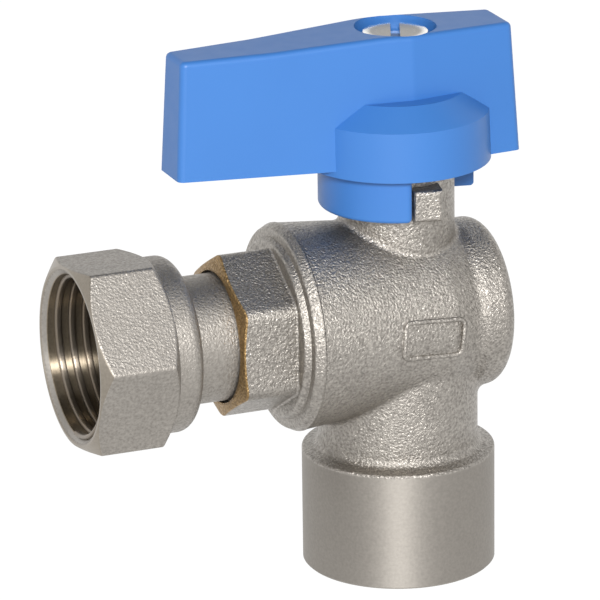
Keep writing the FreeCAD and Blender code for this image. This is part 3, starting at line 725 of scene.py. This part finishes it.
class ANGLEVALVE_OT_threads(bpy.types.Operator):
    """Winds the threads in the union nut and in the inlet socket"""
    bl_idname = "angle_valve.threads"
    bl_label = "Threads"

    def execute(self, context):
        settings = context.scene.valve_threads
        tree = thread_tree()
        nut_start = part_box("union_nut")[0].x + 0.9 * MM
        inlet_start = 0.7 * MM
        along_outlet = Matrix.Rotation(math.pi / 2, 4, "Y")
        nut_place = Matrix.Translation((nut_start, 0, outlet_line())) @ along_outlet
        inlet_place = Matrix.Translation((0, 0, inlet_start))
        for name, mount, place, body, feed_axis in (
                ("union_thread_turns", "union_thread", nut_place, "union", "X"),
                ("inlet_thread_turns", "inlet_thread", inlet_place, "housing", "Z")):
            dims = MOUNTS[mount]["dims"]
            finish = thread_finish(name + " metal", context.scene.valve_metals, feed_axis)
            piece = wind_thread(name, tree, {
                "Bore": dims["r_mm"] * MM, "Pitch": settings.pitch,
                "Length": dims["length_mm"] * MM, "Depth": settings.depth,
                "Crest": settings.crest, "Steps": settings.steps, "Finish": finish}, place)
            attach(piece, body)
        return {"FINISHED"}


class ANGLEVALVE_OT_ball_and_stem(bpy.types.Operator):
    """Gives the ball its chrome and the stem its turned brass"""
    bl_idname = "angle_valve.ball_and_stem"
    bl_label = "Ball and stem"

    def execute(self, context):
        brass = context.scene.valve_metals.brass
        dress("ball", polished_finish())
        dress("stem", turned_finish("turned brass", brass, shaded(brass, 0.75), roughness=0.32,
                                    radial=False))
        return {"FINISHED"}


class ANGLEVALVE_OT_seals(bpy.types.Operator):
    """Gives the seats, ring seals and gasket their rubbers and plastics"""
    bl_idname = "angle_valve.seals"
    bl_label = "Seals"

    def execute(self, context):
        seat = plastic_finish(
            "white seat", (0.80, 0.80, 0.77), (0.74, 0.74, 0.71), roughness=0.45,
            texture=0.4 * MM, depth=0.01 * MM)
        rubber = plastic_finish(
            "black rubber", (0.025, 0.025, 0.027), (0.04, 0.04, 0.042), roughness=0.6,
            texture=0.3 * MM, depth=0.03 * MM)
        for name in ("seat_ring_outlet", "seat_ring_rear", "stem_thrust_washer"):
            dress(name, seat)
        for name in ("stem_oring_lower", "stem_oring_upper", "union_oring_inner",
                     "union_oring_outer", "union_gasket"):
            dress(name, rubber)
        return {"FINISHED"}


class ANGLEVALVE_OT_lever(bpy.types.Operator):
    """Gives the lever its moulded blue plastic"""
    bl_idname = "angle_valve.lever"
    bl_label = "Lever"

    def execute(self, context):
        settings = context.scene.valve_lever
        dress("lever", plastic_finish(
            "blue moulded plastic", settings.plastic, settings.plastic_deep,
            roughness=settings.roughness, texture=settings.texture, depth=0.012 * MM))
        return {"FINISHED"}


class ANGLEVALVE_OT_fasteners(bpy.types.Operator):
    """Gives the lever's screw, its washer and the snap ring their plated steel"""
    bl_idname = "angle_valve.fasteners"
    bl_label = "Fasteners"

    def execute(self, context):
        steel = context.scene.valve_metals.steel
        dark = shaded(steel, 0.70)
        plated = turned_finish("plated steel", steel, dark, roughness=0.34, radial=True)
        for name in ("lever_spring_washer", "union_snap_ring"):
            dress(name, plated)
        # Painted shade and highlight: the screw head's steel is darkened, and its rim goes near
        # white as the bright reflection along it
        painted_rim_highlight = ((0.95, 0.93, 0.88), 3.7 * MM, 5.0 * MM)
        dress("lever_screw", turned_finish(
            "plated screw head", shaded(steel, 0.66), dark, roughness=0.30, radial=True,
            rim_highlight=painted_rim_highlight))
        return {"FINISHED"}


class ANGLEVALVE_OT_stage(bpy.types.Operator):
    """Sets the world, the floor, the card overhead, the lamp and the camera"""
    bl_idname = "angle_valve.stage"
    bl_label = "Stage"

    def execute(self, context):
        settings = context.scene.valve_stage
        self.set_world(context.scene)
        self.lay_floor(settings)
        self.hang_card()
        self.hang_lamp()
        self.set_camera(context.scene, settings)
        context.scene.view_settings.view_transform = "Standard"
        return {"FINISHED"}

    def set_world(self, scene):
        """White behind the valve and in what it mirrors, and a plain grey light from all round."""
        world = bpy.data.worlds.new("studio")
        world.use_nodes = True
        scene.world = world
        tree = world.node_tree
        scattered, shown = 0.30, 1.03
        strength = blend_values(tree, seen_or_mirrored(tree), scattered, shown)
        tree.links.new(strength, tree.nodes["Background"].inputs["Strength"])
        tree.nodes["Background"].inputs["Color"].default_value = (1, 1, 1, 1)

    def lay_floor(self, settings):
        """The floor: white where it is seen or mirrored, and pale paper in the light it throws."""
        reach = 1.6
        corners = ((-reach, -reach, 0), (reach, -reach, 0), (reach, reach, 0), (-reach, reach, 0))
        material = bpy.data.materials.new("paper")
        material.use_nodes = True
        tree = material.node_tree
        shader = tree.nodes["Principled BSDF"]
        shader.inputs["Base Color"].default_value = (*settings.paper, 1)
        shader.inputs["Roughness"].default_value = 0.9
        shader.inputs["Specular IOR Level"].default_value = 0.0
        glow = {"Color": (1, 1, 1, 1), "Strength": 1.05}
        white = node(tree, "ShaderNodeEmission", glow).outputs[0]
        whiteness = 0.97
        share = maths(tree, "MULTIPLY", seen_or_mirrored(tree), whiteness)
        mixed = node(tree, "ShaderNodeMixShader", {0: share, 1: shader.outputs[0], 2: white})
        tree.links.new(mixed.outputs[0], tree.nodes["Material Output"].inputs["Surface"])
        self.set_sheet("paper_floor", corners, material)

    def hang_card(self):
        """A dark grey card over the valve, which shows only in the gloss of its top faces."""
        grey = 0.09
        low_x, high_x, low_y, high_y, height = -0.40, 0.36, -0.15, 0.50, 0.5
        corners = ((low_x, low_y, height), (high_x, low_y, height), (high_x, high_y, height),
                   (low_x, high_y, height))
        material = bpy.data.materials.new("top_card")
        material.use_nodes = True
        tree = material.node_tree
        tree.nodes.clear()
        glow = node(tree, "ShaderNodeEmission", {"Color": (grey, grey, grey, 1)}).outputs[0]
        node(tree, "ShaderNodeOutputMaterial", {"Surface": glow})
        card = self.set_sheet("top_card", corners, material)
        card.visible_camera = False
        card.visible_diffuse = False
        card.visible_shadow = False

    def set_sheet(self, name, corners, material):
        """A flat sheet of the stage."""
        mesh = bpy.data.meshes.new(name)
        mesh.from_pydata(corners, [], [(0, 1, 2, 3)])
        sheet = linked(name, mesh)
        paint(sheet, material)
        return sheet

    def hang_lamp(self):
        """A soft key lamp near the camera."""
        middle = Vector((-0.015, 0, 0.045))
        distance = 0.70
        turn, rise = math.radians(-21), math.radians(26)
        towards = Vector((math.sin(turn) * math.cos(rise), -math.cos(turn) * math.cos(rise),
                          math.sin(rise)))
        lamp = bpy.data.lights.new("key_lamp", "AREA")
        lamp.shape = "DISK"
        lamp.size = 0.14
        lamp.energy = 4.7
        holder = linked("key_lamp", lamp)
        holder.location = middle + towards * distance
        holder.rotation_euler = towards.to_track_quat("Z", "Y").to_euler()

    def set_camera(self, scene, settings):
        """The camera at the photograph's place, with its right, up and back as axes."""
        turn, rise, roll = settings.azimuth, settings.elevation, settings.roll
        level = Vector((math.cos(turn), math.sin(turn), 0))
        back = Vector((math.sin(turn) * math.cos(rise), -math.cos(turn) * math.cos(rise),
                       math.sin(rise)))
        steep = back.cross(level)
        right = level * math.cos(roll) + steep * math.sin(roll)
        up = steep * math.cos(roll) - level * math.sin(roll)
        place = right * settings.aside + up * settings.raised + back * settings.distance
        lens = bpy.data.cameras.new("camera")
        lens.lens = settings.lens
        lens.sensor_width = 36
        lens.clip_end = 10
        camera = linked("camera", lens)
        camera.matrix_world = Matrix((
            (right.x, up.x, back.x, place.x),
            (right.y, up.y, back.y, place.y),
            (right.z, up.z, back.z, place.z),
            (0, 0, 0, 1)))
        scene.camera = camera


OPERATORS = (
    ANGLEVALVE_OT_body,
    ANGLEVALVE_OT_cast_frame,
    ANGLEVALVE_OT_connector,
    ANGLEVALVE_OT_union_nut,
    ANGLEVALVE_OT_threads,
    ANGLEVALVE_OT_ball_and_stem,
    ANGLEVALVE_OT_seals,
    ANGLEVALVE_OT_lever,
    ANGLEVALVE_OT_fasteners,
    ANGLEVALVE_OT_stage,
)
SETTINGS = {
    "valve_metals": MetalSettings,
    "valve_lever": LeverSettings,
    "valve_threads": ThreadSettings,
    "valve_cast_frame": CastFrameSettings,
    "valve_stage": StageSettings,
}


class ANGLEVALVE_PT_panel(bpy.types.Panel):
    """Lists the valve's pieces and their settings in the sidebar"""
    bl_label = "Angle Valve"
    bl_idname = "ANGLEVALVE_PT_panel"
    bl_space_type = "VIEW_3D"
    bl_region_type = "UI"
    bl_category = "Angle Valve"

    def draw(self, context):
        for group in SETTINGS:
            box = self.layout.box()
            settings = getattr(context.scene, group)
            for name in settings.__annotations__:
                box.prop(settings, name)
        for operator in OPERATORS:
            self.layout.operator(operator.bl_idname)


def register():
    """Adds the settings, the operators and the panel."""
    for group in SETTINGS.values():
        bpy.utils.register_class(group)
    for operator in OPERATORS:
        bpy.utils.register_class(operator)
    bpy.utils.register_class(ANGLEVALVE_PT_panel)
    for name, group in SETTINGS.items():
        setattr(bpy.types.Scene, name, PointerProperty(type=group))


def unregister():
    """Takes away what register added."""
    for name in SETTINGS:
        delattr(bpy.types.Scene, name)
    bpy.utils.unregister_class(ANGLEVALVE_PT_panel)
    for operator in reversed(OPERATORS):
        bpy.utils.unregister_class(operator)
    for group in SETTINGS.values():
        bpy.utils.unregister_class(group)


def main():
    """Registers the add-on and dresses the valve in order."""
    register()
    bpy.ops.angle_valve.body()
    bpy.ops.angle_valve.cast_frame()
    bpy.ops.angle_valve.connector()
    bpy.ops.angle_valve.union_nut()
    bpy.ops.angle_valve.threads()
    bpy.ops.angle_valve.ball_and_stem()
    bpy.ops.angle_valve.seals()
    bpy.ops.angle_valve.lever()
    bpy.ops.angle_valve.fasteners()
    bpy.ops.angle_valve.stage()


if __name__ == "__main__":
    main()
